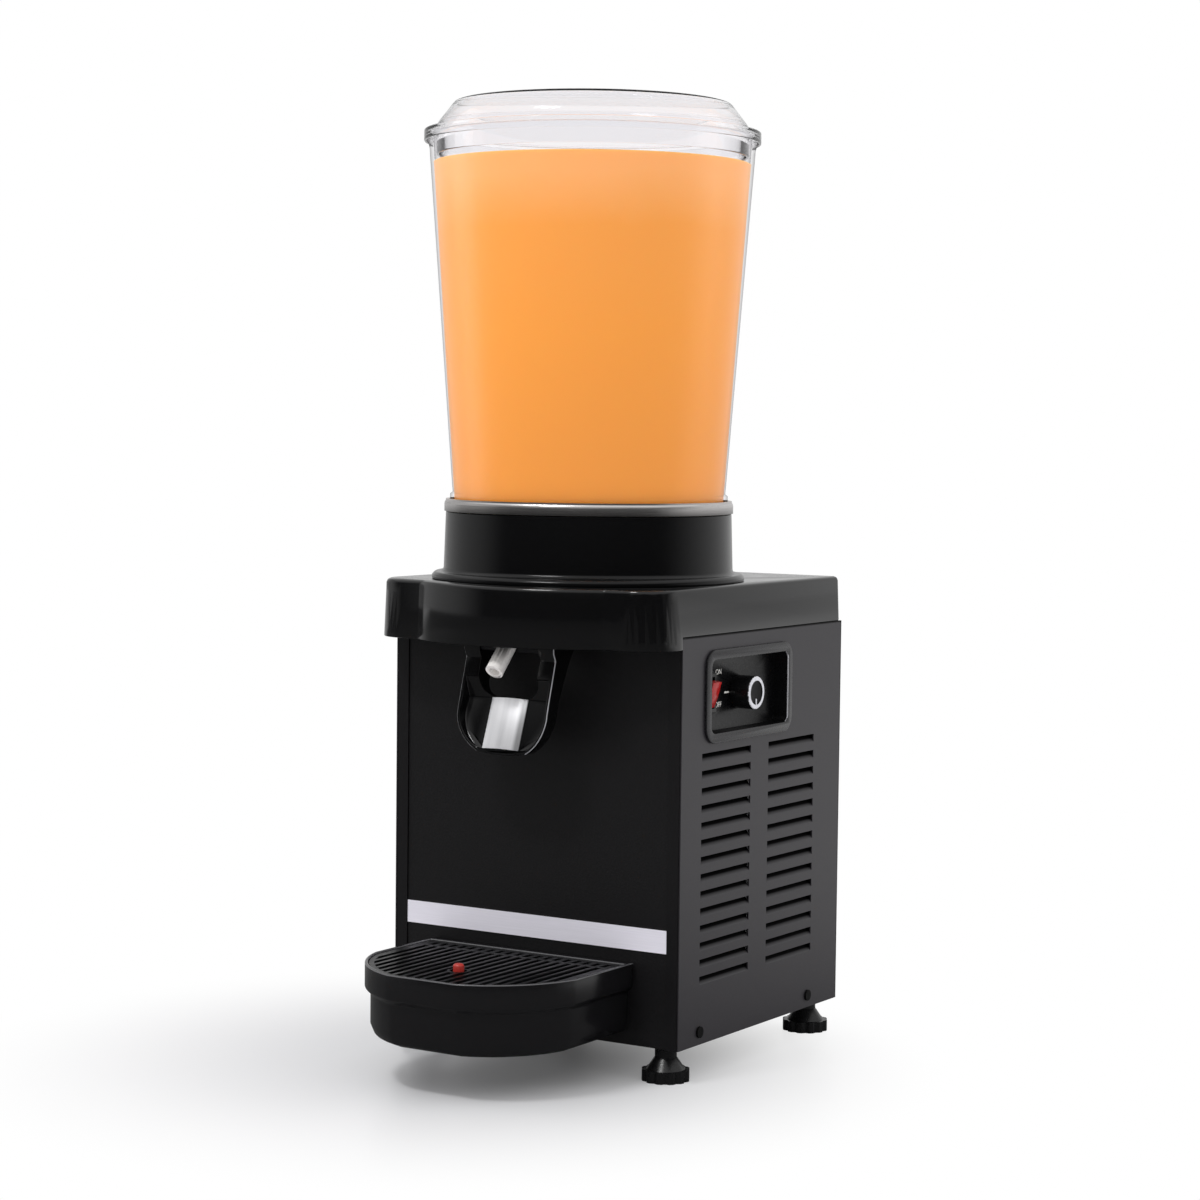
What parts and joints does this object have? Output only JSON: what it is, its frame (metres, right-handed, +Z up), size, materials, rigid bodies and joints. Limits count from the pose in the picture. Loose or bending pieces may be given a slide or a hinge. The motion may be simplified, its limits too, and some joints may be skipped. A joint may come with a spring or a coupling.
{
  "type": "drink dispenser",
  "caption": "Cold drink dispenser: clear lidded bowl on a cooled basin, push tap over a drip tray, louvred black body on levelling feet, knob and rocker on the right.",
  "frame": {"origin": "on the counter under the middle of the outer box, level with the soles of the feet", "axes": "+Z up, -Y the front with the tap, +X the side with the controls"},
  "size_m": [0.2474, 0.3664, 0.678],
  "materials": {
    "charcoal_steel": "satin",
    "textured_black": "textured",
    "zinc_steel": "matt",
    "silver_strip": "satin",
    "black_gloss": "gloss",
    "black_matt": "matt",
    "stainless": "satin",
    "plate_steel": "satin",
    "copper": "satin",
    "foam": "matt",
    "seal_rubber": "matt",
    "spout_rubber": "satin",
    "clear_plastic": "gloss",
    "white_plastic": "satin",
    "red_plastic": "gloss",
    "knob_silver": "satin",
    "compressor_black": "satin",
    "fin_aluminium": "satin",
    "screw_black": "satin",
    "magnet_grey": "matt",
    "foot_black": "matt"
  },
  "bodies": {
    "housing": {"base_pan": "zinc_steel", "foot_nuts": "zinc_steel", "front_frame": "charcoal_steel", "front_panel": "textured_black", "label_strip": "silver_strip", "tray_lugs": "zinc_steel", "left_side_panel": "charcoal_steel", "right_side_panel": "charcoal_steel", "rear_panel": "charcoal_steel", "top_cover": "black_gloss", "deck_plate": "zinc_steel", "neck_collar": "black_gloss", "basin": "stainless", "evaporator_coil": "copper", "basin_insulation": "foam", "bowl_gasket": "seal_rubber", "drive_motor": "zinc_steel", "dispensing_tube": "spout_rubber", "tap_block": "black_matt", "lever_spring": "stainless", "control_bezel": "black_gloss", "thermostat_body": "zinc_steel", "switch_body": "black_matt", "cord_gland": "black_matt", "side_screws": "screw_black", "rear_screws": "screw_black", "compressor": "compressor_black", "compressor_grommets": "seal_rubber", "condenser": "fin_aluminium", "fan_shroud": "zinc_steel", "fan_motor": "compressor_black", "refrigerant_lines": "copper"},
    "bowl_body": {"bowl": "clear_plastic"},
    "lid_body": {"lid": "clear_plastic"},
    "lever": {"push_lever": "black_gloss", "lever_plate": "plate_steel", "lever_pin": "stainless", "pinch_bar": "stainless"},
    "tray": {"drip_tray": "black_gloss"},
    "grate": {"drip_grate": "black_matt"},
    "float": {"float_indicator": "red_plastic"},
    "knob": {"thermostat_knob": "knob_silver"},
    "rocker": {"rocker_button": "red_plastic"},
    "stirrer": {"agitator": "white_plastic"},
    "magnet": {"drive_magnet": "magnet_grey"},
    "fan": {"fan_blade": "fin_aluminium"},
    "foot_front_left": {"foot_front_left": "foot_black"},
    "foot_front_right": {"foot_front_right": "foot_black"},
    "foot_rear_left": {"foot_rear_left": "foot_black"},
    "foot_rear_right": {"foot_rear_right": "foot_black"}
  },
  "joints": [
    {"name": "bowl_lift", "type": "slide", "parent": "housing", "child": "bowl_body", "axis": [0, 0, 1], "range_m": [0, 0.1]},
    {"name": "lid_lift", "type": "slide", "parent": "bowl_body", "child": "lid_body", "axis": [0, 0, 1], "range_m": [0, 0.12]},
    {"name": "lever_push", "type": "hinge", "parent": "housing", "child": "lever", "pos_m": [-0.0023, -0.056, 0.3], "axis": [1, 0, 0], "range_deg": [0, 15], "stiffness_Nm_per_rad": 1, "springref_deg": -17.19},
    {"name": "tray_pull", "type": "slide", "parent": "housing", "child": "tray", "axis": [0, -1, 0], "range_m": [0, 0.1]},
    {"name": "grate_lift", "type": "slide", "parent": "tray", "child": "grate", "axis": [0, 0, 1], "range_m": [0, 0.06]},
    {"name": "float_rise", "type": "slide", "parent": "tray", "child": "float", "axis": [0, 0, 1], "range_m": [0, 0.006]},
    {"name": "knob_turn", "type": "hinge", "parent": "housing", "child": "knob", "pos_m": [0.108, 0.044, 0.264], "axis": [1, 0, 0], "range_deg": [0, 270]},
    {"name": "rocker_tilt", "type": "hinge", "parent": "housing", "child": "rocker", "pos_m": [0.1037, 0.005, 0.2655], "axis": [0, -1, 0], "range_deg": [0, 18]},
    {"name": "magnet_spin", "type": "hinge", "parent": "housing", "child": "magnet", "pos_m": [-0.0023, 0.019, 0.323], "axis": [0, 0, 1], "continuous": true},
    {"name": "stirrer_spin", "type": "hinge", "parent": "housing", "child": "stirrer", "pos_m": [-0.0023, 0.019, 0.326], "axis": [0, 0, 1], "continuous": true},
    {"name": "fan_spin", "type": "hinge", "parent": "housing", "child": "fan", "pos_m": [0.0534, 0.076, 0.126], "axis": [1, 0, 0], "continuous": true},
    {"name": "foot_front_left_adjust", "type": "slide", "parent": "housing", "child": "foot_front_left", "axis": [0, 0, -1], "range_m": [0, 0.008]},
    {"name": "foot_front_right_adjust", "type": "slide", "parent": "housing", "child": "foot_front_right", "axis": [0, 0, -1], "range_m": [0, 0.008]},
    {"name": "foot_rear_left_adjust", "type": "slide", "parent": "housing", "child": "foot_rear_left", "axis": [0, 0, -1], "range_m": [0, 0.008]},
    {"name": "foot_rear_right_adjust", "type": "slide", "parent": "housing", "child": "foot_rear_right", "axis": [0, 0, -1], "range_m": [0, 0.008]}
  ],
  "couplings": [
    {"joint": "stirrer_spin", "follows": "magnet_spin", "ratio": 1}
  ]
}
